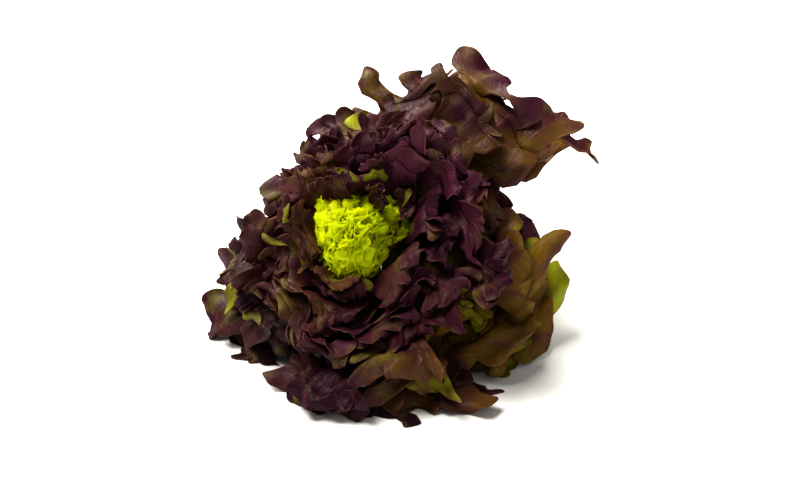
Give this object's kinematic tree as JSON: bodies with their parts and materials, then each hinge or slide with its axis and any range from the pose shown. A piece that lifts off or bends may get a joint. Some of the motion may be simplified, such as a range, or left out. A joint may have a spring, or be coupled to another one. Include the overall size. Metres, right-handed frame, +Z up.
{
  "type": "head of lettuce",
  "caption": "Whole head of red oak-leaf lettuce lying on its side: frilled dark purple lobed leaves round a bright yellow-green heart, with a short cut stem.",
  "frame": {"origin": "bottom centre of the whole head's bounding box, on the table", "axes": "+Z up; -Y towards the viewer that the heart faces; the stem is low at the back, and the heart looks up, forward and to the viewer's left"},
  "size_m": [0.2418, 0.245, 0.169],
  "materials": {
    "leaf_purple": "dark purple leaf, satin",
    "leaf_brown": "brown-purple leaf, satin",
    "heart_lime": "yellow-green leaf, satin",
    "stem_cream": "pale cut stem, satin"
  },
  "bodies": {
    "root": {"stem": "stem_cream", "outer_leaf_01": "leaf_purple", "outer_leaf_02": "leaf_purple", "outer_leaf_03": "leaf_purple", "outer_leaf_04": "leaf_purple", "outer_leaf_05": "leaf_purple", "outer_leaf_06": "leaf_purple", "outer_leaf_07": "leaf_purple", "outer_leaf_08": "leaf_purple", "outer_leaf_09": "leaf_purple", "outer_leaf_10": "leaf_purple", "outer_leaf_11": "leaf_purple", "outer_leaf_12": "leaf_purple", "outer_leaf_13": "leaf_purple", "outer_leaf_14": "leaf_purple", "middle_leaf_01": "leaf_purple", "middle_leaf_02": "leaf_purple", "middle_leaf_03": "leaf_purple", "middle_leaf_04": "leaf_purple", "middle_leaf_05": "leaf_purple", "middle_leaf_06": "leaf_purple", "middle_leaf_07": "leaf_purple", "middle_leaf_08": "leaf_purple", "middle_leaf_09": "leaf_purple", "middle_leaf_10": "leaf_purple", "middle_leaf_11": "leaf_purple", "middle_leaf_12": "leaf_purple", "middle_leaf_13": "leaf_purple", "middle_leaf_14": "leaf_purple", "inner_leaf_01": "leaf_purple", "inner_leaf_02": "leaf_purple", "inner_leaf_03": "leaf_purple", "inner_leaf_04": "leaf_purple", "inner_leaf_05": "leaf_purple", "inner_leaf_06": "leaf_purple", "inner_leaf_07": "leaf_purple", "inner_leaf_08": "leaf_purple", "inner_leaf_09": "leaf_purple", "inner_leaf_10": "leaf_purple", "inner_leaf_11": "leaf_purple", "inner_leaf_12": "leaf_purple", "inner_leaf_13": "leaf_purple", "inner_leaf_14": "leaf_purple", "inner_leaf_15": "leaf_purple", "inner_leaf_16": "leaf_purple", "inner_leaf_17": "leaf_purple", "inner_leaf_18": "leaf_purple", "inner_leaf_19": "leaf_purple", "inner_leaf_20": "leaf_purple", "inner_leaf_21": "leaf_purple", "rosette": "leaf_brown", "heart": "heart_lime"}
  },
  "joints": []
}
